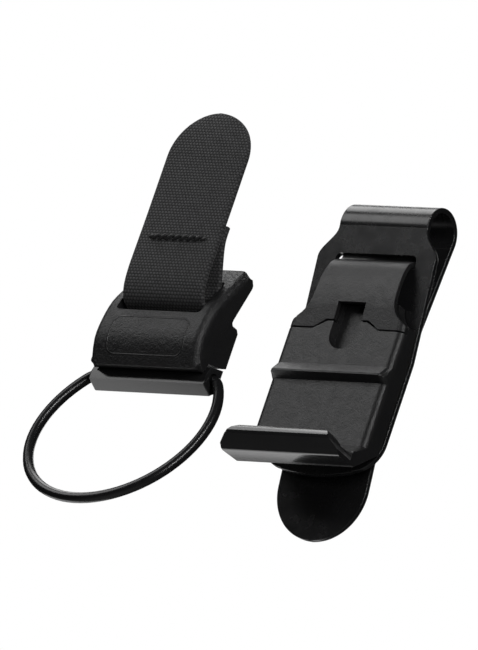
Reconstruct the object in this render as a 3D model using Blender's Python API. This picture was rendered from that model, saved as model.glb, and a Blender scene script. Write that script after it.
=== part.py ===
"""Key organiser: a belt clip with a dock, and a key holder that pulls off it.

Frame: +X right, +Y away from the wearer's front, +Z up. The origin is the centre of the clip's
fold, where the belt's top edge sits. All pieces are symmetric about X = 0.
Design sizes are in millimetres and are turned into metres as each mesh is made.
"""

import math

import bmesh
import bpy
from mathutils import Matrix, Vector

MM = 0.001
GAP = 0.3                       # running and assembly gap between neighbours

# Clip strip
SHEET = 1.2                     # spring steel thickness
FOLD_RADIUS = 5.35              # outer radius of the fold
FRONT_LEAN = math.radians(8.4)  # front leg leans forward above the bend
BACK_LEAN = math.radians(4.2)   # back leg leans towards the plate
FLARE = math.radians(9.0)       # tongue flares away from the plate below the pinch
STRIP_HALF = 11.15              # half width of the fold and the tongue
PLATE_HALF = 14.9               # half width of the front plate
BEND_DROP = 29.8                # from the fold's centre down to the bend in the front leg
PLATE_DROP = 55.7               # from the fold's centre down to the plate's lowest point
PINCH_DROP = 44.3               # down to where the tongue comes nearest the plate
TONGUE_DROP = 67.7              # down to the tongue's tip
PLATE_FACE = -0.95              # Y of the plate's front face below the bend
SPLIT_GAP = math.radians(12.0)  # opening between the two solids of the strip, at the top of the fold

# Dock
DOCK_HALF = 14.7
DOCK_EDGE = 1.7                 # rounding of the dock's front vertical edges
FACE = -6.35                    # Y of the dock's front face
WINDOW_HALF = 3.45
NECK_HALF = 10.3
SHOULDER_RISE = 6.0             # height of the shoulder's hollow curve
BRIDGE_SHEET = 1.1
HOOK_Z = -56.8                  # Z of the hook's lowest line
MAGNET_RADIUS = 3.0
MAGNET_THICK = 2.0
MAGNET_X = 6.6
MAGNET_Z = HOOK_Z + 14.6
RIVET_X = 9.5
RIVET_ROWS = (HOOK_Z + 9.0, HOOK_Z + 26.0)

# Holder, measured from its ledge corner
LEDGE = Vector((0.0, -54.4, -50.0))   # the ledge corner in the frame, holder detached
SHELL_HALF = 13.6
SHELL_EDGE = 1.9
BAR_HALF = 14.6
SLOT_HALF = 10.6
KEEPER_X = 6.2
DOWEL_X = 8.06
PIN_AT = (-6.25, 3.0)                 # strap pin, (y, z) from the ledge corner
PIN_RADIUS = 0.8
PIN_HALF = 11.1
RING_AT = (-3.7, -12.9)               # ring axis in the bar
RING_RADIUS = 20.6
RING_DROP = 13.8                      # ring centre beyond its axis
RING_TILT = math.radians(19.4)
RING_TURN = 16.6                      # distance out from X = 0 where the wire leaves the circle
WIRE = 1.1
BUSH_RADIUS = 1.9

# Pull tab
WEB = 1.25                            # webbing thickness
WEB_HALF = 10.0
TAB_TOP = 43.0
TACK_Z = 14.8


def clear_scene():
    for thing in list(bpy.context.scene.objects):
        bpy.data.objects.remove(thing)


def material(name, colour, roughness, metallic=0.0):
    made = bpy.data.materials.new(name)
    made.use_nodes = True
    shader = made.node_tree.nodes["Principled BSDF"]
    shader.inputs["Base Color"].default_value = (*colour, 1.0)
    shader.inputs["Roughness"].default_value = roughness
    shader.inputs["Metallic"].default_value = metallic
    return made


def publish(name, mesh_data, finish, smooth=False):
    """Turns a bmesh in millimetres into a named object in metres."""
    bmesh.ops.remove_doubles(mesh_data, verts=mesh_data.verts, dist=1e-4)
    bmesh.ops.recalc_face_normals(mesh_data, faces=mesh_data.faces)
    bmesh.ops.scale(mesh_data, vec=(MM, MM, MM), verts=mesh_data.verts)
    mesh = bpy.data.meshes.new(name)
    mesh_data.to_mesh(mesh)
    mesh_data.free()
    made = bpy.data.objects.new(name, mesh)
    bpy.context.scene.collection.objects.link(made)
    if finish:
        mesh.materials.append(finish)
    if smooth:
        mesh.shade_smooth()
        mesh.set_sharp_from_angle(angle=math.radians(35))
    return made


def hang_on(piece, parent):
    """Parents a piece to an empty without moving it."""
    piece.parent = parent
    piece.matrix_parent_inverse = Matrix.Translation(-parent.location)


def joint_empty(name, y, z):
    made = bpy.data.objects.new(name, None)
    made.location = (0.0, y * MM, z * MM)
    bpy.context.scene.collection.objects.link(made)
    return made


def section_prism(outline, half):
    """Extrudes a (y, z) outline along X, from -half to +half."""
    shape = bmesh.new()
    ring = [shape.verts.new((-half, y, z)) for y, z in outline]
    face = shape.faces.new(ring)
    pulled = bmesh.ops.extrude_face_region(shape, geom=[face])
    moved = [v for v in pulled["geom"] if isinstance(v, bmesh.types.BMVert)]
    bmesh.ops.translate(shape, vec=(2 * half, 0, 0), verts=moved)
    bmesh.ops.recalc_face_normals(shape, faces=shape.faces)
    return shape


def front_prism(outline, near, far):
    """Extrudes an (x, z) outline along Y, from near to far."""
    shape = bmesh.new()
    ring = [shape.verts.new((x, near, z)) for x, z in outline]
    face = shape.faces.new(ring)
    pulled = bmesh.ops.extrude_face_region(shape, geom=[face])
    moved = [v for v in pulled["geom"] if isinstance(v, bmesh.types.BMVert)]
    bmesh.ops.translate(shape, vec=(0, far - near, 0), verts=moved)
    bmesh.ops.recalc_face_normals(shape, faces=shape.faces)
    return shape


def upright_prism(outline, low, high):
    """Extrudes an (x, y) outline along Z, from low to high."""
    shape = front_prism(outline, low, high)
    bmesh.ops.transform(shape, matrix=Matrix(((1, 0, 0), (0, 0, 1), (0, 1, 0))).to_4x4(), verts=shape.verts)
    bmesh.ops.recalc_face_normals(shape, faces=shape.faces)
    return shape


def cylinder(centre, axis, radius, length, sides=24):
    """A cylinder centred on a point, along "X", "Y" or "Z"."""
    shape = bmesh.new()
    bmesh.ops.create_cone(
        shape, cap_ends=True, segments=sides, radius1=radius, radius2=radius, depth=length
    )
    turn = {
        "X": Matrix.Rotation(math.pi / 2, 3, "Y"),
        "Y": Matrix.Rotation(math.pi / 2, 3, "X"),
        "Z": Matrix.Identity(3),
    }[axis]
    bmesh.ops.rotate(shape, cent=(0, 0, 0), matrix=turn, verts=shape.verts)
    bmesh.ops.translate(shape, vec=centre, verts=shape.verts)
    return shape


def merged(shapes):
    """Several separate shapes in one mesh."""
    whole = bmesh.new()
    for shape in shapes:
        copied = bpy.data.meshes.new("copied")
        shape.to_mesh(copied)
        whole.from_mesh(copied)
        bpy.data.meshes.remove(copied)
        shape.free()
    return whole


def cut(target, mesh_data, name):
    """Takes a shape, in millimetres, away from an object."""
    tool = publish(f"cutter_{name}", mesh_data, None)
    tool.hide_render = True
    tool.display_type = "WIRE"
    step = target.modifiers.new(name, "BOOLEAN")
    step.operation = "DIFFERENCE"
    step.solver = "EXACT"
    step.object = tool


def arc(centre, radius, start, end, steps):
    """Points (a, b) on an arc, angles in degrees."""
    points = []
    for i in range(steps + 1):
        angle = math.radians(start + (end - start) * i / steps)
        points.append((centre[0] + radius * math.cos(angle), centre[1] + radius * math.sin(angle)))
    return points


def strip(stations):
    """A bent sheet. Each station is (outer point, inner point, half width), points as (y, z)."""
    shape = bmesh.new()
    rows = []
    for outer, inner, half in stations:
        corners = ((-half, *outer), (half, *outer), (half, *inner), (-half, *inner))
        rows.append([shape.verts.new(c) for c in corners])
    for one, two in zip(rows, rows[1:]):
        for i in range(4):
            j = (i + 1) % 4
            shape.faces.new((one[i], one[j], two[j], two[i]))
    shape.faces.new(rows[0])
    shape.faces.new(list(reversed(rows[-1])))
    bmesh.ops.recalc_face_normals(shape, faces=shape.faces)
    return shape


def smooth_path(points, steps):
    """A Catmull-Rom curve through (y, z) points."""
    ends = [points[0]] + list(points) + [points[-1]]
    path = []
    for i in range(1, len(ends) - 2):
        p0, p1, p2, p3 = (Vector(p) for p in ends[i - 1:i + 3])
        for k in range(steps):
            t = k / steps
            path.append(
                0.5 * (2 * p1 + (p2 - p0) * t + (2 * p0 - 5 * p1 + 4 * p2 - p3) * t * t
                       + (3 * p1 - p0 - 3 * p2 + p3) * t ** 3)
            )
    path.append(Vector(points[-1]))
    return path


def sheet_along(path, thickness, half_at):
    """Stations for strip() along a centre path, with half widths from half_at(index)."""
    stations = []
    for i, here in enumerate(path):
        along = path[min(i + 1, len(path) - 1)] - path[max(i - 1, 0)]
        side = Vector((-along.y, along.x)).normalized() * thickness / 2
        stations.append((tuple(here + side), tuple(here - side), half_at(i)))
    return stations


def from_ledge(y, z):
    return LEDGE.y + y, LEDGE.z + z


# ---------------------------------------------------------------- clip strip

def plate_face_at(z):
    """Y of the front leg's outer face at height z."""
    return PLATE_FACE - max(0.0, z + BEND_DROP) * math.tan(FRONT_LEAN)


def plate_half_at(z):
    """Half width of the front leg at height z: strip, shoulders, plate, round foot."""
    shoulder_top, shoulder_low = -1.8, -8.0
    if z > shoulder_low:
        t = min(1.0, max(0.0, (shoulder_top - z) / (shoulder_top - shoulder_low)))
        return STRIP_HALF + (PLATE_HALF - STRIP_HALF) * (3 * t * t - 2 * t ** 3)
    foot_radius, corner = 42.0, 6.5
    up = z + PLATE_DROP
    arc_half = math.sqrt(max(0.0, 2 * foot_radius * up - up * up))
    lift = up - 1.15
    if lift >= corner:
        return PLATE_HALF
    corner_half = PLATE_HALF - corner + math.sqrt(max(0.0, corner ** 2 - (corner - lift) ** 2))
    return max(0.8, min(arc_half, corner_half if lift > 0 else arc_half))


def sheet_point(centre_y, centre_z, angle, radius):
    return centre_y + radius * math.cos(angle), centre_z + radius * math.sin(angle)


def make_clip_plate(finish):
    """Front leg of the clip, from the top of the fold down to the round foot."""
    stations = []
    leave = math.pi + FRONT_LEAN
    first = math.pi / 2 + SPLIT_GAP
    for i in range(11):
        angle = first + (leave - first) * i / 10
        stations.append((
            sheet_point(0, 0, angle, FOLD_RADIUS),
            sheet_point(0, 0, angle, FOLD_RADIUS - SHEET),
            STRIP_HALF,
        ))
    heights = [-1.8 - 6.2 * i / 8 for i in range(9)]
    heights += [-14.0, -22.0, -BEND_DROP, -40.0, -47.5]
    heights += [-PLATE_DROP + 8.0 * (1 - i / 14) ** 2 for i in range(1, 14)]
    heights += [-PLATE_DROP]
    for z in heights:
        y = plate_face_at(z)
        lean = FRONT_LEAN if z > -BEND_DROP else 0.0
        inner = (y + SHEET * math.cos(lean), z + SHEET * math.sin(lean))
        stations.append(((y, z), inner, plate_half_at(z)))
    plate = publish("clip_plate", strip(stations), finish)

    slot_low, slot_high, slot_half = HOOK_Z + 46.7, HOOK_Z + 49.6, 10.2
    outline = [(-slot_half, slot_low), (slot_half, slot_low)]
    outline += arc((slot_half - 1.2, slot_high - 1.2), 1.2, 0, 90, 4)
    outline += arc((-slot_half + 1.2, slot_high - 1.2), 1.2, 90, 180, 4)
    cut(plate, front_prism(outline, -9.0, 0.5), "bridge_slot")
    holes = [cylinder((x, PLATE_FACE + SHEET / 2, z), "Y", 1.7 + GAP, 3 * SHEET) for x, z in rivet_places()]
    cut(plate, merged(holes), "rivet_holes")
    return plate


def make_clip_tongue(finish):
    """Back of the fold, back leg and tongue with its round end."""
    stations = []
    first, leave = math.pi / 2, -BACK_LEAN
    for i in range(13):
        angle = first + (leave - first) * i / 12
        stations.append((
            sheet_point(0, 0, angle, FOLD_RADIUS),
            sheet_point(0, 0, angle, FOLD_RADIUS - SHEET),
            STRIP_HALF,
        ))
    start = Vector(sheet_point(0, 0, leave, FOLD_RADIUS))
    down = Vector((-math.sin(BACK_LEAN), -math.cos(BACK_LEAN)))
    inward = Vector((-math.cos(BACK_LEAN), math.sin(BACK_LEAN)))
    pinch = start + down * ((PINCH_DROP + start.y) / math.cos(BACK_LEAN))
    for share in (0.33, 0.66, 0.94):
        here = start.lerp(pinch, share)
        stations.append((tuple(here), tuple(here + inward * SHEET), STRIP_HALF))
    out = Vector((math.sin(FLARE), -math.cos(FLARE)))
    flare_in = Vector((-math.cos(FLARE), -math.sin(FLARE)))
    length = (TONGUE_DROP - PINCH_DROP) / math.cos(FLARE)
    middle = (inward + flare_in).normalized()
    stations.append((tuple(pinch), tuple(pinch + middle * SHEET), STRIP_HALF))
    run = [0.1, 0.3] + [1 - STRIP_HALF / length * (1 - i / 16) ** 2 for i in range(17)]
    for share in run:
        here = pinch + out * length * share
        left = (1 - share) * length
        reach = min(left, STRIP_HALF)
        half = math.sqrt(max(0.0, STRIP_HALF ** 2 - (STRIP_HALF - reach) ** 2))
        stations.append((tuple(here), tuple(here + flare_in * SHEET), max(0.5, half)))
    return publish("clip_tongue", strip(stations), finish)


# ---------------------------------------------------------------- dock

def shoulder_curve():
    """(x, z) points of the right shoulder, from the side of the dock up to the neck."""
    run = DOCK_HALF - NECK_HALF
    sweep = 2 * math.atan2(run, SHOULDER_RISE)
    radius = SHOULDER_RISE / math.sin(sweep)
    top = HOOK_Z + 33.0 + SHOULDER_RISE
    centre = (NECK_HALF + radius, top)
    return arc(centre, radius, 180 + math.degrees(sweep), 180, 8)


def dock_outline():
    """(y, z) side profile: hook, rear slope, back, top, bridge seat, rib, face and channel."""
    back = PLATE_FACE - GAP
    bend = -BEND_DROP
    top = HOOK_Z + 38.0
    seat = FACE + BRIDGE_SHEET + GAP
    points = [
        (-7.75, 0.0), (back, 5.9), (back, bend - HOOK_Z),
        (back - (top - bend) * math.tan(FRONT_LEAN), top - HOOK_Z),
        (seat, top - HOOK_Z), (seat, 33.1), (FACE, 33.1),
        (FACE, 23.3), (-8.25, 21.0), (-8.25, 20.6), (FACE, 19.6),
        (FACE, 5.4), (-8.85, 2.9), (-11.15, 2.8),
        (-13.6, 5.0), (-14.2, 5.0), (-15.2, 4.6), (-16.1, 3.8), (-16.5, 2.9), (-16.3, 2.2),
        (-13.9, -0.1), (-13.2, -0.3),
    ]
    return [(y, HOOK_Z + z) for y, z in points]


def rivet_places():
    return [(x, z) for x in (-RIVET_X, RIVET_X) for z in RIVET_ROWS]


def both_sides(outline, near, far):
    """One cutter holding an (x, z) outline extruded along Y and its mirror image."""
    return merged([front_prism([(side * x, z) for x, z in outline], near, far) for side in (-1, 1)])


def make_dock_body(finish):
    outline = []
    for y, z in dock_outline():
        on_rib = 19.0 < z - HOOK_Z < 24.0 and y < FACE
        depth = 1 + (FACE - y) / DOCK_EDGE if on_rib else 1
        outline.append((y, z, depth if on_rib or abs(y - FACE) < 1e-6 else 0))
    body = publish("dock_body", eased_prism(outline, DOCK_HALF, DOCK_EDGE, toward=(-1, 0)), finish)

    shoulder = shoulder_curve()
    shoulder += [(NECK_HALF, HOOK_Z + 45), (20, HOOK_Z + 45), (20, shoulder[0][1])]
    cut(body, both_sides(shoulder, -12, 4), "shoulders")
    seam = [(8.3, HOOK_Z + 31.3), (20, HOOK_Z + 31.3), (20, HOOK_Z + 34), (5.0, HOOK_Z + 34),
            (5.0, HOOK_Z + 33.1)]
    cut(body, both_sides(seam, -12, FACE + BRIDGE_SHEET + GAP + 0.02), "seams")
    lip = [(9.2, HOOK_Z + 7.0)]
    lip += [(x, HOOK_Z + z) for x, z in arc((9.2, 1.02), 4.0, 90, 20, 6)]
    lip += [(DOCK_HALF + 0.1, HOOK_Z + 0.6), (20, HOOK_Z + 0.6), (20, HOOK_Z + 7.0)]
    cut(body, both_sides(lip, -20, -9.4), "lip_corners")
    window = [(WINDOW_HALF, HOOK_Z + 40), (WINDOW_HALF, HOOK_Z + 30.35)]
    window += arc((0, HOOK_Z + 30.35), WINDOW_HALF, 0, -180, 14)[1:]
    window += [(-WINDOW_HALF, HOOK_Z + 40)]
    cut(body, front_prism(window, -12, FACE + 2.6), "window")
    wells = [cylinder((x, FACE + 4.0, MAGNET_Z), "Y", MAGNET_RADIUS + GAP, 6.0, 28)
             for x in (-MAGNET_X, MAGNET_X)]
    cut(body, merged(wells), "magnet_wells")
    tray = bmesh.new()
    bmesh.ops.create_cube(tray, size=1.0)
    bmesh.ops.scale(tray, vec=(21.0, 4.0, 7.6), verts=tray.verts)
    bmesh.ops.translate(tray, vec=(0, FACE + 3.55 + 2.0, MAGNET_Z), verts=tray.verts)
    cut(body, tray, "backing_tray")
    bores = [cylinder((x, PLATE_FACE, z), "Y", 1.0 + GAP, 6.0) for x, z in rivet_places()]
    cut(body, merged(bores), "rivet_bores")
    return body


def make_dock_bridge(finish):
    """Thin arched cover: wide foot on the seam, neck, and a top lip through the plate's slot."""
    profile = [(FACE, 31.6), (-6.6, 34.0), (-6.85, 37.0), (-6.9, 40.0), (-6.7, 43.0),
               (-6.1, 45.6), (-5.2, 47.3), (-4.0, 48.3), (-2.75, 49.0), (-2.55, 50.6)]
    outer = smooth_path([(y, HOOK_Z + z) for y, z in profile], 4)
    shoulder = shoulder_curve()

    def half_at(point):
        z = point.y
        if z < HOOK_Z + 33.0:
            return DOCK_HALF - 0.3
        for (x1, z1), (x2, z2) in zip(shoulder, shoulder[1:]):
            if z1 <= z <= z2:
                return x1 + (x2 - x1) * (z - z1) / (z2 - z1)
        rise = min(1.0, max(0.0, (z - HOOK_Z - 39.0) / 8.0))
        return NECK_HALF - 0.5 * rise

    stations = []
    for i, here in enumerate(outer):
        along = outer[min(i + 1, len(outer) - 1)] - outer[max(i - 1, 0)]
        inward = Vector((along.y, -along.x)).normalized() * BRIDGE_SHEET
        if i == 0:
            inward = Vector((BRIDGE_SHEET, 0.0))
        stations.append((tuple(here), tuple(here + inward), half_at(here)))
    bridge = publish("dock_bridge", strip(stations), finish)

    corner = [(DOCK_HALF - DOCK_EDGE, -12), (20, -12), (20, FACE + DOCK_EDGE), (DOCK_HALF, FACE + DOCK_EDGE)]
    corner += arc((DOCK_HALF - DOCK_EDGE, FACE + DOCK_EDGE), DOCK_EDGE, 0, -90, 6)[1:]
    corners = [upright_prism([(side * x, y) for x, y in corner], HOOK_Z + 30, HOOK_Z + 35) for side in (-1, 1)]
    cut(bridge, merged(corners), "corner_rounding")
    notch = [(-8.6, HOOK_Z + 31.3), (-5.3, HOOK_Z + 33.4), (5.3, HOOK_Z + 33.4), (8.6, HOOK_Z + 31.3),
             (8.6, HOOK_Z + 30), (-8.6, HOOK_Z + 30)]
    cut(bridge, front_prism(notch, -12, 0), "seam_notch")
    window = [(-WINDOW_HALF, HOOK_Z + 30), (WINDOW_HALF, HOOK_Z + 30)]
    window += [(WINDOW_HALF, HOOK_Z + 37.3), (-WINDOW_HALF, HOOK_Z + 37.3)]
    cut(bridge, front_prism(window, -12, 0), "window_top")
    return bridge


def make_dock_internals(steel, magnet):
    """Magnets, their backing plate, and the rivets through the plate. Returns the objects."""
    made = []
    for side, x in (("left", -MAGNET_X), ("right", MAGNET_X)):
        disc = cylinder((x, FACE + 1.3 + MAGNET_THICK / 2, MAGNET_Z), "Y", MAGNET_RADIUS, MAGNET_THICK, 28)
        made.append(publish(f"dock_magnet_{side}", disc, magnet, smooth=True))
    backing = bmesh.new()
    bmesh.ops.create_cube(backing, size=1.0)
    bmesh.ops.scale(backing, vec=(20.4, 0.9, 7.0), verts=backing.verts)
    bmesh.ops.translate(backing, vec=(0, FACE + 3.85 + 0.45, MAGNET_Z), verts=backing.verts)
    made.append(publish("magnet_backing", backing, steel))
    for side, x in (("left", -RIVET_X), ("right", RIVET_X)):
        for level, z in zip(("lower", "upper"), RIVET_ROWS):
            head_back = PLATE_FACE + SHEET
            profile = [(0.0, head_back), (1.7, head_back), (1.7, head_back - 0.9),
                       (1.0, head_back - 0.9), (1.0, PLATE_FACE - 2.6), (0.0, PLATE_FACE - 2.6)]
            made.append(publish(f"rivet_{level}_{side}", turned_along_y(profile, x, z), steel, smooth=True))
    return made


def turned_along_y(profile, x, z, sides=20):
    """Turns an (r, y) profile about a line along Y through (x, z)."""
    shape = bmesh.new()
    rings = []
    for radius, y in profile:
        if radius == 0.0:
            rings.append([shape.verts.new((x, y, z))])
            continue
        rings.append([
            shape.verts.new((x + radius * math.cos(2 * math.pi * k / sides), y,
                             z + radius * math.sin(2 * math.pi * k / sides)))
            for k in range(sides)
        ])
    for one, two in zip(rings, rings[1:]):
        for k in range(sides):
            n = (k + 1) % sides
            corners = [one[k % len(one)], one[n % len(one)], two[n % len(two)], two[k % len(two)]]
            unique = []
            for corner in corners:
                if corner not in unique:
                    unique.append(corner)
            shape.faces.new(unique)
    bmesh.ops.recalc_face_normals(shape, faces=shape.faces)
    return shape


# ---------------------------------------------------------------- holder

def shell_outline():
    """(y, z) side profile from the ledge corner: rear notch, tip, crowned front and underside."""
    front = smooth_path([(-2.7, 12.1), (-6.3, 5.9), (-8.9, 1.5), (-10.2, -3.0), (-10.5, -7.8),
                         (-8.8, -12.8)], 3)
    rear = [(0.0, -8.5), (0.0, -0.7), (-0.7, 0.0), (-2.3, 0.0), (-2.7, 0.5), (-2.6, 1.2),
            (-0.2, 9.3), (-0.2, 10.0), (-1.0, 11.0)]
    under = [(-6.5, -12.5), (-5.6, -10.3), (-1.0, -9.0)]
    points = [(y, z, 0) for y, z in rear]
    points += [(p.x, p.y, 1) for p in front]
    points += [(y, z, 0) for y, z in under]
    return [(*from_ledge(y, z), eased) for y, z, eased in points]


def eased_prism(outline, half, edge, toward=None, steps=5):
    """Extrudes a (y, z) outline along X. Points whose third value is 1 draw back near both ends,
    which rounds that side's end edges. They draw back square to the outline, or away from
    the direction given as toward."""
    count = len(outline)
    centre = sum((Vector(p[:2]) for p in outline), Vector((0, 0))) / count
    normals = []
    for i, (y, z, eased) in enumerate(outline):
        before, after = Vector(outline[i - 1][:2]), Vector(outline[(i + 1) % count][:2])
        along = after - before
        normal = Vector((along.y, -along.x)).normalized()
        if normal.dot(Vector((y, z)) - centre) < 0:
            normal.negate()
        normals.append((Vector(toward) if toward else normal) * eased)
    shape = bmesh.new()
    sections = []
    insets = [math.pi / 2 * k / steps for k in range(steps + 1)]
    for side, angles in ((-1, insets), (1, list(reversed(insets)))):
        for angle in angles:
            x = side * (half - edge * (1 - math.cos(angle)))
            drawn = edge * (1 - math.sin(angle))
            sections.append([
                shape.verts.new((x, y - n.x * drawn, z - n.y * drawn))
                for (y, z, _), n in zip(outline, normals)
            ])
    for one, two in zip(sections, sections[1:]):
        for k in range(count):
            n = (k + 1) % count
            shape.faces.new((one[k], one[n], two[n], two[k]))
    shape.faces.new(sections[0])
    shape.faces.new(list(reversed(sections[-1])))
    bmesh.ops.recalc_face_normals(shape, faces=shape.faces)
    return shape


def make_holder_shell(finish):
    shell = publish("holder_shell", eased_prism(shell_outline(), SHELL_HALF, SHELL_EDGE), finish)

    recess = [(-14.0, -0.9), (-5.6, -0.9), (-3.9, 0.7), (-3.5, 3.8), (-4.1, 7.0), (-5.0, 8.8), (-14.0, 8.8)]
    opening = section_prism([from_ledge(y, z) for y, z in recess], SLOT_HALF)
    edges = [e for e in opening.edges
             if abs(abs(e.verts[0].co.x) - SLOT_HALF) < 1e-4 and abs(e.verts[0].co.x - e.verts[1].co.x) < 1e-4
             and max(e.verts[0].co.y, e.verts[1].co.y) > LEDGE.y - 13.9]
    bmesh.ops.bevel(opening, geom=edges, offset=1.0, segments=3, profile=0.5, affect="EDGES")
    cut(shell, opening, "strap_recess")
    pin_y, pin_z = from_ledge(*PIN_AT)
    cut(shell, cylinder((0, pin_y, pin_z), "X", PIN_RADIUS + GAP, 2 * PIN_HALF + 0.4), "pin_bore")
    wells = [cylinder((x, LEDGE.y, LEDGE.z - 4.6), "Y", 2.8 + GAP, 3.6, 24) for x in (-KEEPER_X, KEEPER_X)]
    cut(shell, merged(wells), "keeper_wells")
    bores = [cylinder((x, LEDGE.y - 3.5, LEDGE.z - 9.6), "Z", 0.8 + GAP, 5.6, 16) for x in (-DOWEL_X, DOWEL_X)]
    cut(shell, merged(bores), "dowel_bores")
    return shell


def make_holder_bar(finish):
    outline = [(-6.1, -13.1), (-6.1, -14.8), (-3.0, -16.0), (-1.5, -14.7), (-1.5, -9.6), (-5.3, -10.7)]
    shape = section_prism([from_ledge(y, z) for y, z in outline], BAR_HALF)
    edges = [e for e in shape.edges if abs(e.verts[0].co.x - e.verts[1].co.x) < 1e-4]
    bmesh.ops.bevel(shape, geom=edges, offset=0.45, segments=2, profile=0.5, affect="EDGES")
    bar = publish("holder_bar", shape, finish)
    ring_y, ring_z = from_ledge(*RING_AT)
    sockets = [cylinder((sign * 11.8, ring_y, ring_z), "X", BUSH_RADIUS + GAP / 2, 3.2) for sign in (-1, 1)]
    cut(bar, merged(sockets), "bush_sockets")
    mouths = [cylinder((sign * BAR_HALF, ring_y, ring_z), "X", WIRE + GAP, 5.0) for sign in (-1, 1)]
    cut(bar, merged(mouths), "wire_mouths")
    seats = [cylinder((x, LEDGE.y - 3.5, LEDGE.z - 10.4), "Z", 0.8 + GAP, 3.2, 16) for x in (-DOWEL_X, DOWEL_X)]
    cut(bar, merged(seats), "dowel_seats")
    return bar


def make_holder_internals(steel, bronze):
    made = []
    pin_y, pin_z = from_ledge(*PIN_AT)
    made.append(publish("strap_pin", cylinder((0, pin_y, pin_z), "X", PIN_RADIUS, 2 * PIN_HALF), steel, smooth=True))
    for side, sign in (("left", -1), ("right", 1)):
        keeper = cylinder((sign * KEEPER_X, LEDGE.y - 0.95, LEDGE.z - 4.6), "Y", 2.8, 1.1)
        made.append(publish(f"keeper_plate_{side}", keeper, steel, smooth=True))
        dowel = cylinder((sign * DOWEL_X, LEDGE.y - 3.5, LEDGE.z - 9.6), "Z", 0.8, 4.2, 16)
        made.append(publish(f"bar_dowel_{side}", dowel, steel, smooth=True))
        made.append(publish(f"ring_bush_{side}", ring_bush(sign), bronze, smooth=True))
    return made


def ring_bush(sign):
    """A sleeve in the end of the bar: outer radius, bore for the wire, open at both ends."""
    ring_y, ring_z = from_ledge(*RING_AT)
    inner, outer, sides = WIRE + GAP / 2, BUSH_RADIUS, 20
    near, far = sign * 10.5, sign * 13.1
    shape = bmesh.new()
    rings = []
    for radius, x in ((inner, near), (outer, near), (outer, far), (inner, far)):
        rings.append([
            shape.verts.new((x, ring_y + radius * math.cos(2 * math.pi * k / sides),
                             ring_z + radius * math.sin(2 * math.pi * k / sides)))
            for k in range(sides)
        ])
    for i, one in enumerate(rings):
        two = rings[(i + 1) % 4]
        for k in range(sides):
            n = (k + 1) % sides
            shape.faces.new((one[k], one[n], two[n], two[k]))
    bmesh.ops.recalc_face_normals(shape, faces=shape.faces)
    return shape


def make_key_ring(finish):
    """Open wire ring: a circle whose two ends turn in along the bar's axis."""
    ring_y, ring_z = from_ledge(*RING_AT)
    down = Vector((0, -math.sin(RING_TILT), -math.cos(RING_TILT)))
    across = Vector((1, 0, 0))
    axis = Vector((0, ring_y, ring_z))
    centre = axis + down * RING_DROP
    gap_angle = 180 - math.degrees(math.asin(RING_TURN / RING_RADIUS))
    turn_drop = RING_DROP + RING_RADIUS * math.cos(math.radians(gap_angle))
    slope = (RING_DROP - turn_drop) / RING_TURN
    corner = RING_TURN - turn_drop * slope
    inner = BAR_HALF - 0.2
    bend = [(11.4, 0.0), (12.9, 0.0)]
    for i in range(7):
        t = i / 7
        x = (1 - t) ** 2 * inner + 2 * t * (1 - t) * corner + t * t * RING_TURN
        bend.append((x, t * t * turn_drop))
    path = [axis - across * x + down * drop for x, drop in bend]
    steps = 56
    for i in range(steps + 1):
        angle = math.radians(-gap_angle + 2 * gap_angle * i / steps)
        path.append(centre + down * RING_RADIUS * math.cos(angle) + across * RING_RADIUS * math.sin(angle))
    path += [axis + across * x + down * drop for x, drop in reversed(bend)]
    shape = bmesh.new()
    normal = across.cross(down)
    sides = 14
    rings = []
    for i, here in enumerate(path):
        along = (path[min(i + 1, len(path) - 1)] - path[max(i - 1, 0)]).normalized()
        side = normal.cross(along).normalized()
        rings.append([
            shape.verts.new(here + WIRE * (normal * math.cos(2 * math.pi * k / sides)
                                           + side * math.sin(2 * math.pi * k / sides)))
            for k in range(sides)
        ])
    for one, two in zip(rings, rings[1:]):
        for k in range(sides):
            n = (k + 1) % sides
            shape.faces.new((one[k], one[n], two[n], two[k]))
    shape.faces.new(rings[0])
    shape.faces.new(list(reversed(rings[-1])))
    return publish("key_ring", shape, finish, smooth=True)


# ---------------------------------------------------------------- pull tab

def tab_path():
    """Centre line of the webbing, from the tab's top round the pin to the end of the tail."""
    front = [(-10.2, TAB_TOP), (-10.2, 33.0), (-10.25, 20.0), (-10.4, 12.0), (-10.45, 8.0), (-10.2, 5.0),
             (-9.6, 3.0), (-8.6, 1.75), (-7.2, 1.1), (-5.7, 1.15), (-4.65, 2.2)]
    back = [(-4.45, 3.9), (-4.9, 5.6), (-5.9, 8.2), (-7.2, 11.2), (-8.3, 14.0), (-8.75, 16.0), (-8.8, 18.6)]
    return front, back


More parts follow.
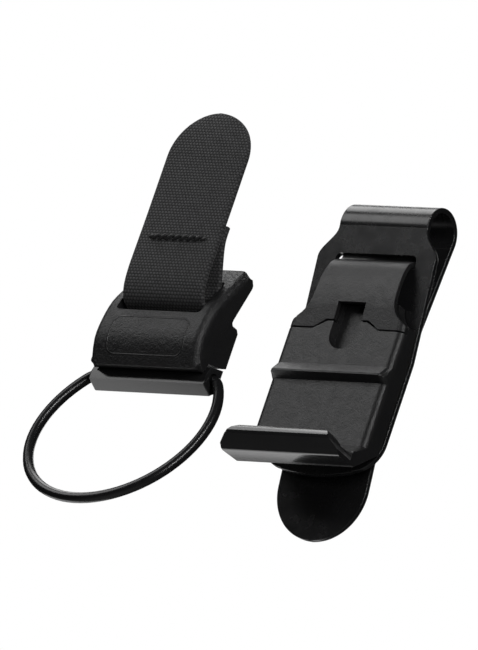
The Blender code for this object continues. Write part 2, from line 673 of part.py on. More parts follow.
def make_pull_tab(fabric, thread):
    """Webbing strap with its loop, the tail behind it, and the bar tack that sews them."""
    front, back = tab_path()
    path = smooth_path([from_ledge(y, z) for y, z in front + back], 4)
    seam = next(i for i in range(len(path) - 1, 0, -1) if path[i].y < LEDGE.z + 6.0)
    top = LEDGE.z + TAB_TOP
    round_end = [Vector((LEDGE.y - 10.2, top - WEB_HALF * (i / 12) ** 2)) for i in range(13)]
    strap_path = round_end + [p for p in path[:seam + 1] if p.y < top - WEB_HALF - 1.0 or path.index(p) > 12]

    def strap_half(i):
        drop = top - strap_path[i].y
        if i > 12 or drop >= WEB_HALF:
            return WEB_HALF
        return max(0.5, math.sqrt(WEB_HALF ** 2 - (WEB_HALF - drop) ** 2))

    strap = publish("strap_webbing", strip(sheet_along(strap_path, WEB, strap_half)), fabric)
    tail_path = path[seam + 1:]
    tail = publish("strap_tail", strip(sheet_along(tail_path, WEB, lambda i: WEB_HALF)), fabric)
    tack = bmesh.new()
    bmesh.ops.create_cube(tack, size=1.0)
    bmesh.ops.scale(tack, vec=(14.2, 0.5, 1.6), verts=tack.verts)
    bmesh.ops.translate(tack, vec=(0, LEDGE.y - 11.25, LEDGE.z + TACK_Z), verts=tack.verts)
    return [strap, tail, publish("bar_tack", tack, thread)]


def main():
    clear_scene()
    steel_black = material("black_steel", (0.012, 0.012, 0.013), 0.32, 0.6)
    moulded = material("black_moulding", (0.018, 0.018, 0.019), 0.5)
    bare_steel = material("bare_steel", (0.55, 0.55, 0.56), 0.35, 1.0)
    magnet = material("nickel_magnet", (0.62, 0.61, 0.58), 0.25, 1.0)
    bronze = material("bush_bronze", (0.10, 0.08, 0.06), 0.4, 0.8)
    fabric = material("black_webbing", (0.02, 0.02, 0.022), 0.9)
    thread = material("black_thread", (0.015, 0.015, 0.016), 0.7)

    make_clip_plate(steel_black)
    make_dock_body(moulded)
    make_dock_bridge(moulded)
    make_dock_internals(bare_steel, magnet)
    fold_axis = joint_empty("tongue_axis", 0.0, 0.0)
    hang_on(make_clip_tongue(steel_black), fold_axis)

    holder_seat = joint_empty("holder_origin", LEDGE.y, LEDGE.z)
    for piece in [make_holder_shell(moulded), make_holder_bar(moulded)]:
        hang_on(piece, holder_seat)
    for piece in make_holder_internals(bare_steel, bronze):
        hang_on(piece, holder_seat)
    ring_axis = joint_empty("ring_axis", *from_ledge(*RING_AT))
    hang_on(make_key_ring(steel_black), ring_axis)
    tab_axis = joint_empty("tab_axis", *from_ledge(*PIN_AT))
    for piece in make_pull_tab(fabric, thread):
        hang_on(piece, tab_axis)


main()
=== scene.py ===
"""Looks for the key organiser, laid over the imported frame.

Coated spring steel, moulded plastic, woven webbing and a coated wire ring. Lengths in the
modelling code are in millimetres and are turned into metres as each mesh is made.
"""
import math

import bmesh
import bpy
from mathutils import Matrix, Vector


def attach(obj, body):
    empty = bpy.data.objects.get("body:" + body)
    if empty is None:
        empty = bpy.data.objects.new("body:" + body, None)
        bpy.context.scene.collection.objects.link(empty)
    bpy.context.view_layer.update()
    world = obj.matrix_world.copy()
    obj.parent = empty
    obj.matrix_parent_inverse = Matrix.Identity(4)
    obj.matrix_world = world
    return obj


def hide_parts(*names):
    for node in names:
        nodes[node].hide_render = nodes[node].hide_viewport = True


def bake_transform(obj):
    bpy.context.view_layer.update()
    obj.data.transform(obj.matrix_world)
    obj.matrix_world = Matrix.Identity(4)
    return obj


MM = 0.001
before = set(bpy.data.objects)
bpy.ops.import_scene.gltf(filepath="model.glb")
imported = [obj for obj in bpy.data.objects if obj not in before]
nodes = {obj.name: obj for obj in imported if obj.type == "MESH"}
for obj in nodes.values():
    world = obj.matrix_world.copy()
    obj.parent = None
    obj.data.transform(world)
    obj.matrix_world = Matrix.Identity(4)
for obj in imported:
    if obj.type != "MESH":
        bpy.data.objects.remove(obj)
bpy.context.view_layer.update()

# Design sizes that the new pieces share with the frame
SHEET = 1.2
FOLD_RADIUS = 5.35
FRONT_LEAN = math.radians(8.4)
BACK_LEAN = math.radians(4.2)
FLARE = math.radians(9.0)
STRIP_HALF = 11.15
PLATE_HALF = 14.9
BEND_DROP = 29.8
PLATE_DROP = 55.7
PINCH_DROP = 44.3
TONGUE_DROP = 67.7
PLATE_FACE = -0.95
SHEET_EDGE = 0.28
HOOK_Z = -56.8
SLOT_LOW, SLOT_HIGH = HOOK_Z + 46.7, HOOK_Z + 49.6
SLOT_HALF = 10.2
SLOT_CORNER = 1.2
RIVET_X = 9.5
RIVET_HOLE = 2.0
RIVET_ROWS = (HOOK_Z + 9.0, HOOK_Z + 26.0)
LEDGE = Vector((0.0, -54.4, -50.0))
WEB = 1.25
WEB_HALF = 10.0
STRAP_FACE = -10.2
TAB_TOP = 43.0
TACK_Z = 14.8

# The holder's faint front outline: half width, half height, corner radius, and drop of its middle
PANEL = (9.5, 4.1, 2.0)
PANEL_DROP = 6.7

# The dock is polished below this height and ahead of this plane
POLISH_TOP = HOOK_Z + 4.2
POLISH_FRONT = -8.5

# Edges sharper than this many degrees stay creased in shading
SHARP = 32.0


# ---------------------------------------------------------------- materials

class Finish:
    """A Principled material with short ways to add and join nodes."""

    def __init__(self, name, colour, roughness, metallic=0.0):
        self.material = bpy.data.materials.new(name)
        self.material.use_nodes = True
        self.tree = self.material.node_tree
        self.shader = self.tree.nodes["Principled BSDF"]
        self.shader.inputs["Base Color"].default_value = (*colour, 1.0)
        self.shader.inputs["Roughness"].default_value = roughness
        self.shader.inputs["Metallic"].default_value = metallic
        self.place = self.tree.nodes.new("ShaderNodeTexCoord").outputs["Object"]

    def feed(self, socket, value):
        if isinstance(value, bpy.types.NodeSocket):
            self.tree.links.new(value, socket)
        else:
            socket.default_value = value

    def maths(self, kind, *values):
        made = self.tree.nodes.new("ShaderNodeMath")
        made.operation = kind
        for socket, value in zip(made.inputs, values):
            self.feed(socket, value)
        return made.outputs[0]

    def noise(self, size_mm, detail=2.0, vector=None, rough=0.5):
        """Noise whose features are about size_mm across, from 0 to 1."""
        made = self.tree.nodes.new("ShaderNodeTexNoise")
        made.inputs["Scale"].default_value = 1.0 / (size_mm * MM)
        made.inputs["Detail"].default_value = detail
        made.inputs["Roughness"].default_value = rough
        self.feed(made.inputs["Vector"], vector or self.place)
        return made.outputs["Fac"]

    def spread(self, value, low, high, to_low, to_high, smooth=False):
        made = self.tree.nodes.new("ShaderNodeMapRange")
        made.interpolation_type = "SMOOTHSTEP" if smooth else "LINEAR"
        for socket, number in zip(made.inputs[:5], (value, low, high, to_low, to_high)):
            self.feed(socket, number)
        return made.outputs["Result"]

    def tint(self, value, low, high):
        """A colour between low and high."""
        made = self.tree.nodes.new("ShaderNodeMix")
        made.data_type = "RGBA"
        self.feed(made.inputs["Factor"], value)
        self.feed(made.inputs["A"], (*low, 1.0))
        self.feed(made.inputs["B"], (*high, 1.0))
        return made.outputs["Result"]

    def bump(self, height, depth_mm, strength=1.0, under=None):
        made = self.tree.nodes.new("ShaderNodeBump")
        made.inputs["Distance"].default_value = depth_mm * MM
        self.feed(made.inputs["Strength"], strength)
        self.feed(made.inputs["Height"], height)
        if under:
            self.tree.links.new(under, made.inputs["Normal"])
        return made.outputs["Normal"]

    def worn_edges(self, radius_mm=0.35):
        """1 on convex edges and 0 on flats, from how much a rounded normal differs."""
        rounded = self.tree.nodes.new("ShaderNodeBevel")
        rounded.samples = 6
        rounded.inputs["Radius"].default_value = radius_mm * MM
        true_normal = self.tree.nodes.new("ShaderNodeNewGeometry").outputs["Normal"]
        dot = self.tree.nodes.new("ShaderNodeVectorMath")
        dot.operation = "DOT_PRODUCT"
        self.tree.links.new(rounded.outputs["Normal"], dot.inputs[0])
        self.tree.links.new(true_normal, dot.inputs[1])
        return self.spread(dot.outputs["Value"], 0.995, 0.90, 0.0, 1.0)

    def set(self, socket, value):
        self.feed(self.shader.inputs[socket], value)


def coated_steel():
    """Satin black coating on steel: faint orange peel, edges rubbed a little lighter."""
    made = Finish("black_steel", (0.012, 0.012, 0.013), 0.3)
    patch = made.noise(9.0, 3.0)
    grain = made.noise(0.16, 2.0)
    edge = made.maths("MULTIPLY", made.worn_edges(0.25), made.spread(patch, 0.35, 0.7, 0.25, 1.0))
    base = made.tint(patch, (0.009, 0.009, 0.0095), (0.016, 0.016, 0.017))
    mixed = made.tree.nodes.new("ShaderNodeMix")
    mixed.data_type = "RGBA"
    made.feed(mixed.inputs["Factor"], made.maths("MULTIPLY", edge, 0.5))
    made.feed(mixed.inputs["A"], base)
    made.feed(mixed.inputs["B"], (0.06, 0.06, 0.06, 1.0))
    made.set("Base Color", mixed.outputs["Result"])
    made.set("Roughness", made.spread(made.noise(3.0, 3.0), 0.3, 0.7, 0.22, 0.30))
    made.set("Normal", made.bump(grain, 0.012, 0.5))
    made.set("Specular IOR Level", 0.6)
    return made.material


def panel_line(made, x, y, z):
    """1 along the faint rounded rectangle on the holder's front, 0 elsewhere."""
    half_x, half_z, corner = PANEL
    middle = LEDGE.z - PANEL_DROP
    from_x = made.maths("SUBTRACT", made.maths("ABSOLUTE", x), (half_x - corner) * MM)
    from_z = made.maths("ABSOLUTE", made.maths("SUBTRACT", z, middle * MM))
    from_z = made.maths("SUBTRACT", from_z, (half_z - corner) * MM)
    out_x, out_z = (made.maths("MAXIMUM", part, 0.0) for part in (from_x, from_z))
    squares = made.maths("ADD", made.maths("MULTIPLY", out_x, out_x), made.maths("MULTIPLY", out_z, out_z))
    inside = made.maths("MINIMUM", made.maths("MAXIMUM", from_x, from_z), 0.0)
    gap = made.maths("SUBTRACT", made.maths("ADD", made.maths("SQRT", squares), inside), corner * MM)
    line = made.spread(made.maths("ABSOLUTE", gap), 0.05 * MM, 0.2 * MM, 1.0, 0.0, True)
    return made.maths("MULTIPLY", line, made.maths("LESS_THAN", y, (LEDGE.y - 4.0) * MM))


def moulding(name, grain_mm, depth_mm, polished_hook=False, panel=False):
    """Black moulded plastic with a spark texture, either with the dock's polished hook or with the
    holder's faint front outline."""
    made = Finish(name, (0.018, 0.018, 0.019), 0.42)
    patch = made.noise(7.0, 3.0)
    grain = made.noise(grain_mm, 3.0, rough=0.6)
    pits = made.noise(grain_mm * 2.3, 1.0)
    relief = made.maths("ADD", grain, made.maths("MULTIPLY", pits, 0.6))
    base = made.tint(patch, (0.014, 0.014, 0.0145), (0.022, 0.022, 0.023))
    speck = made.spread(grain, 0.62, 0.78, 0.0, 0.5)
    mixed = made.tree.nodes.new("ShaderNodeMix")
    mixed.data_type = "RGBA"
    made.feed(mixed.inputs["Factor"], speck)
    made.feed(mixed.inputs["A"], base)
    made.feed(mixed.inputs["B"], (0.05, 0.05, 0.05, 1.0))
    rough = made.spread(made.noise(1.6, 2.0), 0.3, 0.7, 0.34, 0.43)
    strength = 1.0
    split = made.tree.nodes.new("ShaderNodeSeparateXYZ")
    made.feed(split.inputs[0], made.place)
    if panel:
        line = panel_line(made, *split.outputs)
        relief = made.maths("ADD", relief, made.maths("MULTIPLY", line, 0.8))
        rough = made.maths("SUBTRACT", rough, made.maths("MULTIPLY", line, 0.08))
    if polished_hook:
        low, ahead = (
            made.spread(split.outputs[axis], (edge + blur) * MM, (edge - blur) * MM, 0.0, 1.0, True)
            for axis, edge, blur in (("Z", POLISH_TOP, 0.6), ("Y", POLISH_FRONT, 0.7))
        )
        polished = made.maths("MULTIPLY", low, ahead)
        textured = made.maths("MULTIPLY", rough, made.maths("SUBTRACT", 1.0, polished))
        rough = made.maths("ADD", textured, made.maths("MULTIPLY", polished, 0.14))
        strength = made.spread(polished, 0.0, 1.0, 1.0, 0.08)
        mixed.inputs["B"].default_value = (0.04, 0.04, 0.04, 1.0)
    made.set("Base Color", mixed.outputs["Result"])
    made.set("Roughness", rough)
    made.set("Normal", made.bump(relief, depth_mm, strength))
    return made.material


def bare_metal(name, colour, roughness, grain_mm=0.4):
    """Plain or plated metal with fine turning marks and a little tarnish."""
    made = Finish(name, colour, roughness, 1.0)
    tarnish = made.noise(1.8, 4.0)
    made.set("Base Color", made.tint(tarnish, tuple(c * 0.7 for c in colour), colour))
    made.set("Roughness", made.spread(made.noise(grain_mm, 3.0), 0.3, 0.7, roughness * 0.8, roughness * 1.3))
    made.set("Normal", made.bump(made.noise(grain_mm * 0.5, 2.0), 0.01, 0.4))
    return made.material


def woven(name):
    """Tight rib webbing with painted shade in its hollows. UV is (along, across) the strap in millimetres."""
    made = Finish(name, (0.02, 0.02, 0.021), 0.85)
    uv = made.tree.nodes.new("ShaderNodeUVMap")
    uv.uv_map = "weave"
    split = made.tree.nodes.new("ShaderNodeSeparateXYZ")
    made.feed(split.inputs[0], uv.outputs["UV"])
    along, across = split.outputs["X"], split.outputs["Y"]
    turn = 2 * math.pi
    row = made.maths("DIVIDE", along, 0.62)
    wander = made.maths("MULTIPLY", made.spread(made.noise(1.6, 2.0), 0.0, 1.0, -1.0, 1.0), 0.5)
    shift = made.maths("MULTIPLY", made.maths("FLOOR", row), math.pi)
    angle = made.maths("ADD", made.maths("MULTIPLY", across, turn / 0.78), made.maths("ADD", shift, wander))
    knuckle = made.spread(made.maths("SINE", angle), -0.8, 0.8, 0.0, 1.0, True)
    rib = made.maths("ABSOLUTE", made.maths("SINE", made.maths("MULTIPLY", row, math.pi)))
    fibre = made.noise(0.08, 2.0)
    height = made.maths("MULTIPLY", rib, made.spread(knuckle, 0.0, 1.0, 0.45, 1.0))
    height = made.maths("ADD", height, made.maths("MULTIPLY", fibre, 0.2))
    # Colour follows the weave's height: painted shade darkens the hollows between ribs and knuckles, and the
    # raised yarn stays lighter. A random tone varies it a little.
    painted_hollow_shade_and_tone = made.maths("MULTIPLY", height, made.spread(made.noise(0.9, 3.0), 0.3, 0.7, 0.7, 1.2))
    made.set("Base Color", made.tint(painted_hollow_shade_and_tone, (0.009, 0.009, 0.0095), (0.085, 0.085, 0.087)))
    made.set("Roughness", made.spread(knuckle, 0.0, 1.0, 0.95, 0.62))
    made.set("Normal", made.bump(height, 0.10, 0.9))
    made.set("Sheen Weight", 0.25)
    made.set("Sheen Roughness", 0.4)
    return made.material


def thread():
    """Bonded sewing thread: black with a soft sheen and fine fibres."""
    made = Finish("stitch_thread", (0.03, 0.03, 0.031), 0.34)
    made.set("Normal", made.bump(made.noise(0.07, 2.0), 0.02, 0.6))
    return made.material


STEEL = coated_steel()
DOCK = moulding("dock_moulding", 0.26, 0.055, polished_hook=True)
SHELL = moulding("shell_moulding", 0.36, 0.13, panel=True)
BARE = bare_metal("bare_steel_finish", (0.55, 0.55, 0.56), 0.32)
NICKEL = bare_metal("nickel_plate", (0.62, 0.61, 0.58), 0.2)
BRONZE = bare_metal("dark_bronze", (0.10, 0.08, 0.06), 0.4)
WEBBING = woven("rib_webbing")
THREAD = thread()


# ---------------------------------------------------------------- mesh helpers

def publish(name, shape, finish, sharp=SHARP):
    """Turns a bmesh in millimetres into a smooth-shaded object in metres."""
    bmesh.ops.remove_doubles(shape, verts=shape.verts, dist=1e-4)
    bmesh.ops.recalc_face_normals(shape, faces=shape.faces)
    bmesh.ops.scale(shape, vec=(MM, MM, MM), verts=shape.verts)
    mesh = bpy.data.meshes.new(name)
    shape.to_mesh(mesh)
    shape.free()
    mesh.materials.append(finish)
    mesh.shade_smooth()
    mesh.set_sharp_from_angle(angle=math.radians(sharp))
    made = bpy.data.objects.new(name, mesh)
    bpy.context.scene.collection.objects.link(made)
    return made


def settle(piece):
    """Applies a piece's modifiers."""
    graph = bpy.context.evaluated_depsgraph_get()
    final = bpy.data.meshes.new_from_object(piece.evaluated_get(graph))
    piece.modifiers.clear()
    piece.data = final


def carve(piece, cutters):
    """Takes each cutter bmesh (millimetres) away from the piece, for good."""
    for shape in cutters:
        tool = publish("tool", shape, STEEL)
        step = piece.modifiers.new("carve", "BOOLEAN")
        step.operation = "DIFFERENCE"
        step.solver = "EXACT"
        step.object = tool
        settle(piece)
        bpy.data.objects.remove(tool)
    piece.data.shade_smooth()
    piece.data.set_sharp_from_angle(angle=math.radians(SHARP))


def flat_faces_first(piece):
    """Keeps broad faces flat in shading while small rounded edges stay smooth."""
    step = piece.modifiers.new("weighted", "WEIGHTED_NORMAL")
    step.keep_sharp = True
    step.weight = 50


def front_prism(outline, near, far):
    """Extrudes an (x, z) outline along Y, from near to far."""
    shape = bmesh.new()
    face = shape.faces.new([shape.verts.new((x, near, z)) for x, z in outline])
    pulled = bmesh.ops.extrude_face_region(shape, geom=[face])
    moved = [v for v in pulled["geom"] if isinstance(v, bmesh.types.BMVert)]
    bmesh.ops.translate(shape, vec=(0, far - near, 0), verts=moved)
    bmesh.ops.recalc_face_normals(shape, faces=shape.faces)
    return shape


def arc(centre, radius, start, end, steps):
    """Points (a, b) on an arc, angles in degrees."""
    points = []
    for i in range(steps + 1):
        angle = math.radians(start + (end - start) * i / steps)
        points.append((centre[0] + radius * math.cos(angle), centre[1] + radius * math.sin(angle)))
    return points


def smooth_path(points, steps):
    """A Catmull-Rom curve through (y, z) points."""
    ends = [points[0]] + list(points) + [points[-1]]
    path = []
    for i in range(1, len(ends) - 2):
        p0, p1, p2, p3 = (Vector(p) for p in ends[i - 1:i + 3])
        for k in range(steps):
            t = k / steps
            path.append(
                0.5 * (2 * p1 + (p2 - p0) * t + (2 * p0 - 5 * p1 + 4 * p2 - p3) * t * t
                       + (3 * p1 - p0 - 3 * p2 + p3) * t ** 3)
            )
    path.append(Vector(points[-1]))
    return path


def rounded_section(half, thick, edge, steps=3):
    """(across, through) points of a rounded rectangle; through runs from 0 to thick."""
    edge_x = min(edge, half * 0.6)
    corners = (
        (half - edge_x, edge, -90), (half - edge_x, thick - edge, 0),
        (edge_x - half, thick - edge, 90), (edge_x - half, edge, 180),
    )
    points = []
    for x, t, start in corners:
        for k in range(steps + 1):
            angle = math.radians(start + 90 * k / steps)
            points.append((x + edge_x * math.cos(angle), t + edge * math.sin(angle)))
    return points


def rounded_strip(stations, edge):
    """A bent sheet with rounded long edges. Stations are (outer point, inner point, half width)."""
    shape = bmesh.new()
    rows = []
    for outer, inner, half in stations:
        outer, inner = Vector(outer), Vector(inner)
        through = (inner - outer).normalized()
        thick = (inner - outer).length
        row = []
        for x, t in rounded_section(half, thick, edge):
            point = outer + through * t
            row.append(shape.verts.new((x, point.x, point.y)))
        rows.append(row)
    count = len(rows[0])
    for one, two in zip(rows, rows[1:]):
        for i in range(count):
            j = (i + 1) % count
            shape.faces.new((one[i], one[j], two[j], two[i]))
    shape.faces.new(rows[0])
    shape.faces.new(list(reversed(rows[-1])))
    bmesh.ops.recalc_face_normals(shape, faces=shape.faces)
    return shape


# ---------------------------------------------------------------- clip strip

def plate_face_at(z):
    return PLATE_FACE - max(0.0, z + BEND_DROP) * math.tan(FRONT_LEAN)


def plate_half_at(z):
    """Half width of the front leg at height z: strip, shoulders, plate, round foot."""
    shoulder_top, shoulder_low = -1.8, -8.0
    if z > shoulder_low:
        t = min(1.0, max(0.0, (shoulder_top - z) / (shoulder_top - shoulder_low)))
        return STRIP_HALF + (PLATE_HALF - STRIP_HALF) * (3 * t * t - 2 * t ** 3)
    foot_radius, corner = 42.0, 6.5
    up = z + PLATE_DROP
    arc_half = math.sqrt(max(0.0, 2 * foot_radius * up - up * up))
    lift = up - 1.15
    if lift >= corner:
        return PLATE_HALF
    corner_half = PLATE_HALF - corner + math.sqrt(max(0.0, corner ** 2 - (corner - lift) ** 2))
    return max(0.8, min(arc_half, corner_half if lift > 0 else arc_half))


def plate_station(z):
    y = plate_face_at(z)
    bend = min(1.0, max(0.0, (z + BEND_DROP + 1.0) / 2.0))
    lean = FRONT_LEAN * bend
    return (y, z), (y + SHEET * math.cos(lean), z + SHEET * math.sin(lean)), plate_half_at(z)


def back_line():
    """The back leg's outer line from the fold to the pinch: start, unit down, unit inward, length."""
    start = Vector((FOLD_RADIUS * math.cos(-BACK_LEAN), FOLD_RADIUS * math.sin(-BACK_LEAN)))
    down = Vector((-math.sin(BACK_LEAN), -math.cos(BACK_LEAN)))
    inward = Vector((-math.cos(BACK_LEAN), math.sin(BACK_LEAN)))
    return start, down, inward, (PINCH_DROP + start.y) / math.cos(BACK_LEAN)


def make_front_leg():
    """Front leg and plate, slotted for the bridge and bored for the rivets."""
    heights = [-1.3, -1.8] + [-1.8 - 6.2 * i / 12 for i in range(1, 13)]
    heights += [-14.0, -22.0, -BEND_DROP + 1.0, -BEND_DROP, -BEND_DROP - 1.0, -40.0, -47.5]
    heights += [-PLATE_DROP + 8.0 * (1 - i / 26) ** 2 for i in range(1, 26)] + [-PLATE_DROP]
    leg = publish("front_leg", rounded_strip([plate_station(z) for z in heights], SHEET_EDGE), STEEL)
    slot = [(-SLOT_HALF, SLOT_LOW), (SLOT_HALF, SLOT_LOW)]
    slot += arc((SLOT_HALF - SLOT_CORNER, SLOT_HIGH - SLOT_CORNER), SLOT_CORNER, 0, 90, 6)
    slot += arc((SLOT_CORNER - SLOT_HALF, SLOT_HIGH - SLOT_CORNER), SLOT_CORNER, 90, 180, 6)
    cutters = [front_prism(slot, -9.0, 0.5)]
    for x in (-RIVET_X, RIVET_X):
        for z in RIVET_ROWS:
            cutters.append(front_prism(arc((x, z), RIVET_HOLE, 0, 345, 23), -3.0, 3.0))
    carve(leg, cutters)
    flat_faces_first(leg)
    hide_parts("clip_plate")
    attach(leg, "clip")


def make_fold():
    """The fold itself, bent round from the front leg to the back leg."""
    stations = [plate_station(-1.3)]
    leave, back = math.pi + FRONT_LEAN, -BACK_LEAN
    for i in range(41):
        angle = leave + (back - leave) * i / 40
        unit = Vector((math.cos(angle), math.sin(angle)))
        stations.append((tuple(unit * FOLD_RADIUS), tuple(unit * (FOLD_RADIUS - SHEET)), STRIP_HALF))
    start, down, inward, _ = back_line()
    here = start + down * 1.0
    stations.append((tuple(here), tuple(here + inward * SHEET), STRIP_HALF))
    fold = publish("fold", rounded_strip(stations, SHEET_EDGE), STEEL)
    flat_faces_first(fold)
    settle(fold)
    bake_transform(fold)


def make_tongue():
    """Back leg and its flared, round-ended tongue."""
    start, down, inward, length = back_line()
    stations = []
    for along in [1.0] + [length * share for share in (0.33, 0.66, 0.9, 0.96)]:
        here = start + down * along
        stations.append((tuple(here), tuple(here + inward * SHEET), STRIP_HALF))
    pinch = start + down * length
    out = Vector((math.sin(FLARE), -math.cos(FLARE)))
    flare_in = Vector((-math.cos(FLARE), -math.sin(FLARE)))
    run = (TONGUE_DROP - PINCH_DROP) / math.cos(FLARE)
    for along in (0.06, 0.1, 0.3):
        here = pinch + out * run * along
        stations.append((tuple(here), tuple(here + flare_in * SHEET), STRIP_HALF))
    for i in range(33):
        share = 1 - STRIP_HALF / run * (1 - i / 32) ** 2
        here = pinch + out * run * share
        reach = min((1 - share) * run, STRIP_HALF)
        half = math.sqrt(max(0.0, STRIP_HALF ** 2 - (STRIP_HALF - reach) ** 2))
        stations.append((tuple(here), tuple(here + flare_in * SHEET), max(0.5, half)))
    tongue = publish("tongue_leg", rounded_strip(stations, SHEET_EDGE), STEEL)
    flat_faces_first(tongue)
    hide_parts("clip_tongue")
    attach(tongue, "tongue")


# ---------------------------------------------------------------- carried-over nodes

def refine(name, finish, edge_mm=0.0):
    """Gives a frame node its finish, and rounds its sharp edges or creases them."""
    node = nodes[name]
    for slot in node.material_slots:
        slot.material = finish
    weld = node.modifiers.new("weld", "WELD")
    weld.merge_threshold = 1e-6
    if edge_mm:
        plane = node.modifiers.new("planes", "DECIMATE")
        plane.decimate_type = "DISSOLVE"
        plane.angle_limit = math.radians(1.0)
        bevel = node.modifiers.new("edges", "BEVEL")
        bevel.width = edge_mm * MM
        bevel.segments = 3
        bevel.limit_method = "ANGLE"
        bevel.angle_limit = math.radians(28.0)
        bevel.use_clamp_overlap = True
        bevel.miter_outer = "MITER_ARC"
    else:
        split = node.modifiers.new("edges", "EDGE_SPLIT")
        split.split_angle = math.radians(SHARP)
    node.data.shade_smooth()
    flat_faces_first(node)


# ---------------------------------------------------------------- webbing

def from_ledge(y, z):
    return LEDGE.y + y, LEDGE.z + z


def tab_path():
    """Centre line of the webbing, from the tab's top round the pin to the end of the tail."""
    front = [
        (STRAP_FACE, TAB_TOP), (STRAP_FACE, 33.0), (-10.25, 20.0), (-10.4, 12.0), (-10.45, 8.0), (-10.2, 5.0),
        (-9.6, 3.0), (-8.6, 1.75), (-7.2, 1.1), (-5.7, 1.15), (-4.65, 2.2),
    ]
    back = [
        (-4.45, 3.9), (-4.9, 5.6), (-5.9, 8.2), (-7.2, 11.2), (-8.3, 14.0), (-8.75, 16.0), (-8.8, 18.6),
    ]
    return [from_ledge(y, z) for y, z in front + back]


def woven_strip(name, path, half_at, edge=0.5):
    """Webbing along a (y, z) centre path, with round selvedges and a weave map in millimetres."""
    shape = bmesh.new()
    uv_layer = shape.loops.layers.uv.new("weave")
    rows, runs, travelled = [], [], 0.0
    for i, here in enumerate(path):
        along = path[min(i + 1, len(path) - 1)] - path[max(i - 1, 0)]
        side = Vector((-along.y, along.x)).normalized()
        if i:
            travelled += (here - path[i - 1]).length
        row = []
        for x, t in rounded_section(half_at(i), WEB, edge, 4):
            point = here + side * (WEB / 2 - t)
            row.append((shape.verts.new((x, point.x, point.y)), x))
        rows.append(row)
        runs.append(travelled)
    count = len(rows[0])

    def lay(face, coords):
        for loop, (u, v) in zip(face.loops, coords):
            loop[uv_layer].uv = (u, v)

    for r, (one, two) in enumerate(zip(rows, rows[1:])):
        for i in range(count):
            j = (i + 1) % count
            face = shape.faces.new((one[i][0], one[j][0], two[j][0], two[i][0]))
            near, far = runs[r], runs[r + 1]
            lay(face, ((near, one[i][1]), (near, one[j][1]), (far, two[j][1]), (far, two[i][1])))
    for row, run, flip in ((rows[0], runs[0], 1), (rows[-1], runs[-1], -1)):
        ordered = row[::flip]
        face = shape.faces.new([v for v, _ in ordered])
        lay(face, [(run, x) for _, x in ordered])
    return publish(name, shape, WEBBING, 60.0)


def make_pull_tab():
    """The strap, from its round top round the pin to the seam, and the tail above the seam."""
    path = smooth_path(tab_path(), 8)
    seam = next(i for i in range(len(path) - 1, 0, -1) if path[i].y < LEDGE.z + 6.0)
    top = LEDGE.z + TAB_TOP
    rounded = [Vector((LEDGE.y + STRAP_FACE, top - WEB_HALF * (i / 32) ** 2)) for i in range(33)]
    main = rounded + [p for p in path[:seam + 1] if p.y < top - WEB_HALF - 0.5 or p.x > LEDGE.y - 10.0]

    def half(i):
        drop = top - main[i].y
        if i > 32 or drop >= WEB_HALF:
            return WEB_HALF
        return max(0.5, math.sqrt(WEB_HALF ** 2 - (WEB_HALF - drop) ** 2))

    strap = woven_strip("strap", main, half)
    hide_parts("strap_webbing")
    tail = woven_strip("tail", path[seam:], lambda i: WEB_HALF)
    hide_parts("strap_tail")
    for piece in (strap, tail):
        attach(piece, "pull_tab")


def make_bar_tack():
    """Two strands of thread in an even twist, pulled tight across the strap's front."""
    half, turns, steps = 7.0, 4.0, 160
    strand_radius, rise = 0.34, 0.46
    y = LEDGE.y - 10.35 - WEB / 2
    z = LEDGE.z + TACK_Z
    data = bpy.data.curves.new("bar_tack_stitches", "CURVE")
    data.dimensions = "3D"
    data.bevel_depth = strand_radius * MM
    data.bevel_resolution = 2
    data.use_fill_caps = True
    for start in (0.0, math.pi):
        spline = data.splines.new("POLY")
        spline.points.add(steps)
        for i, point in enumerate(spline.points):
            share = i / steps
            angle = start + 2 * math.pi * turns * share
            swell = rise * min(1.0, 10.0 * share, 10.0 * (1 - share))
            x = half * (2 * share - 1)
            point.co = (x * MM, (y - swell * math.cos(angle)) * MM, (z + swell * math.sin(angle)) * MM, 1.0)
    data.materials.append(THREAD)
    tack = bpy.data.objects.new("bar_tack_stitches", data)
    bpy.context.scene.collection.objects.link(tack)
    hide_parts("bar_tack")
    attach(tack, "pull_tab")


# ---------------------------------------------------------------- set

LIT_POINT = (0.0, -0.035, -0.045)
LIGHT_DISTANCE = 0.8
FLOOR_Z = -1.2
FLOOR_HALF = 6.0
VIEW_RIGHT = (0.799, 0.520, 0.301)
VIEW_TOWARD = (0.5996, -0.7217, -0.3446)
VIEW_HEIGHT = 0.1313


def area_light(name, direction, size, power):
    """A soft box aimed at the object from a direction; size is (width, height) in metres."""
    data = bpy.data.lights.new(name, "AREA")
    data.shape = "RECTANGLE"
    data.size, data.size_y = size
    data.energy = power
    made = bpy.data.objects.new(name, data)
    back = Vector(direction).normalized()
    made.location = Vector(LIT_POINT) + back * LIGHT_DISTANCE
    made.rotation_mode = "QUATERNION"
    made.rotation_quaternion = (-back).to_track_quat("-Z", "Y")
    made.visible_camera = False
    bpy.context.scene.collection.objects.link(made)


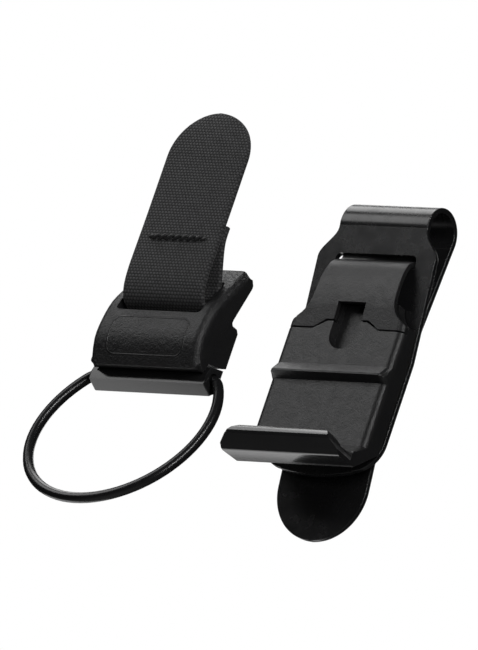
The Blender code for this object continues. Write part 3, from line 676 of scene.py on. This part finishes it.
def make_set():
    """Pale sweep, soft studio light and the camera."""
    scene = bpy.context.scene
    scene.view_settings.view_transform = "Standard"
    world = bpy.data.worlds.new("studio")
    world.use_nodes = True
    tree = world.node_tree
    sky = tree.nodes["Background"]
    path = tree.nodes.new("ShaderNodeLightPath")
    mix = tree.nodes.new("ShaderNodeMixShader")
    seen = tree.nodes.new("ShaderNodeBackground")
    seen.inputs["Color"].default_value = (1.0, 1.0, 1.0, 1.0)
    sky.inputs["Color"].default_value = (1.0, 1.0, 1.0, 1.0)
    sky.inputs["Strength"].default_value = 0.012
    tree.links.new(path.outputs["Is Camera Ray"], mix.inputs["Fac"])
    tree.links.new(sky.outputs[0], mix.inputs[1])
    tree.links.new(seen.outputs[0], mix.inputs[2])
    tree.links.new(mix.outputs[0], tree.nodes["World Output"].inputs["Surface"])
    scene.world = world

    floor_mesh = bpy.data.meshes.new("floor")
    corners = [(x * FLOOR_HALF, y * FLOOR_HALF, FLOOR_Z) for x, y in ((-1, -1), (1, -1), (1, 1), (-1, 1))]
    floor_mesh.from_pydata(corners, [], [(0, 1, 2, 3)])
    floor = bpy.data.objects.new("floor", floor_mesh)
    scene.collection.objects.link(floor)
    paper = bpy.data.materials.new("paper")
    paper.use_nodes = True
    shader = paper.node_tree.nodes["Principled BSDF"]
    shader.inputs["Base Color"].default_value = (0.9, 0.9, 0.9, 1.0)
    shader.inputs["Roughness"].default_value = 0.9
    shader.inputs["Emission Color"].default_value = (0.82, 0.82, 0.82, 1.0)
    seen_floor = paper.node_tree.nodes.new("ShaderNodeLightPath").outputs["Is Camera Ray"]
    paper.node_tree.links.new(seen_floor, shader.inputs["Emission Strength"])
    floor_mesh.materials.append(paper)

    area_light("key", (-0.62, -0.70, 0.52), (0.50, 0.40), 1.5)
    area_light("top", (-0.50, 0.02, 0.86), (0.45, 0.35), 1.5)
    area_light("below", (-0.60, 0.52, -0.54), (0.60, 0.50), 1.5)
    area_light("strip_right", (0.74, -0.58, 0.30), (0.03, 0.9), 3.0)
    area_light("back", (-0.50, 0.90, 0.50), (0.60, 0.50), 1.5)

    toward = Vector(VIEW_TOWARD).normalized()
    up = toward.cross(Vector(VIEW_RIGHT).normalized()).normalized()
    right = up.cross(toward).normalized()
    aim = (Vector((0.0, -7.75, HOOK_Z)) + up * 28.08 - right * 11.31) * MM
    data = bpy.data.cameras.new("camera")
    data.sensor_width = 36.0
    data.lens = 800.0
    data.clip_start = 0.1
    data.clip_end = 20.0
    camera = bpy.data.objects.new("camera", data)
    distance = VIEW_HEIGHT * data.lens / data.sensor_width
    pose = Matrix((right, up, toward)).transposed().to_4x4()
    pose.translation = aim + toward * distance
    camera.matrix_world = pose
    scene.collection.objects.link(camera)
    scene.camera = camera


make_set()
make_front_leg()
make_fold()
make_tongue()
refine("dock_body", DOCK, 0.22)
refine("dock_bridge", DOCK, 0.2)
refine("holder_shell", SHELL, 0.3)
refine("holder_bar", DOCK)
refine("key_ring", STEEL)
for name, finish in (
    ("dock_magnet", NICKEL), ("keeper_plate", BARE), ("bar_dowel", BARE), ("ring_bush", BRONZE),
    ("rivet_lower", BARE), ("rivet_upper", BARE),
):
    for side in ("left", "right"):
        refine(f"{name}_{side}", finish)
refine("magnet_backing", BARE, 0.1)
refine("strap_pin", BARE)
make_pull_tab()
make_bar_tack()
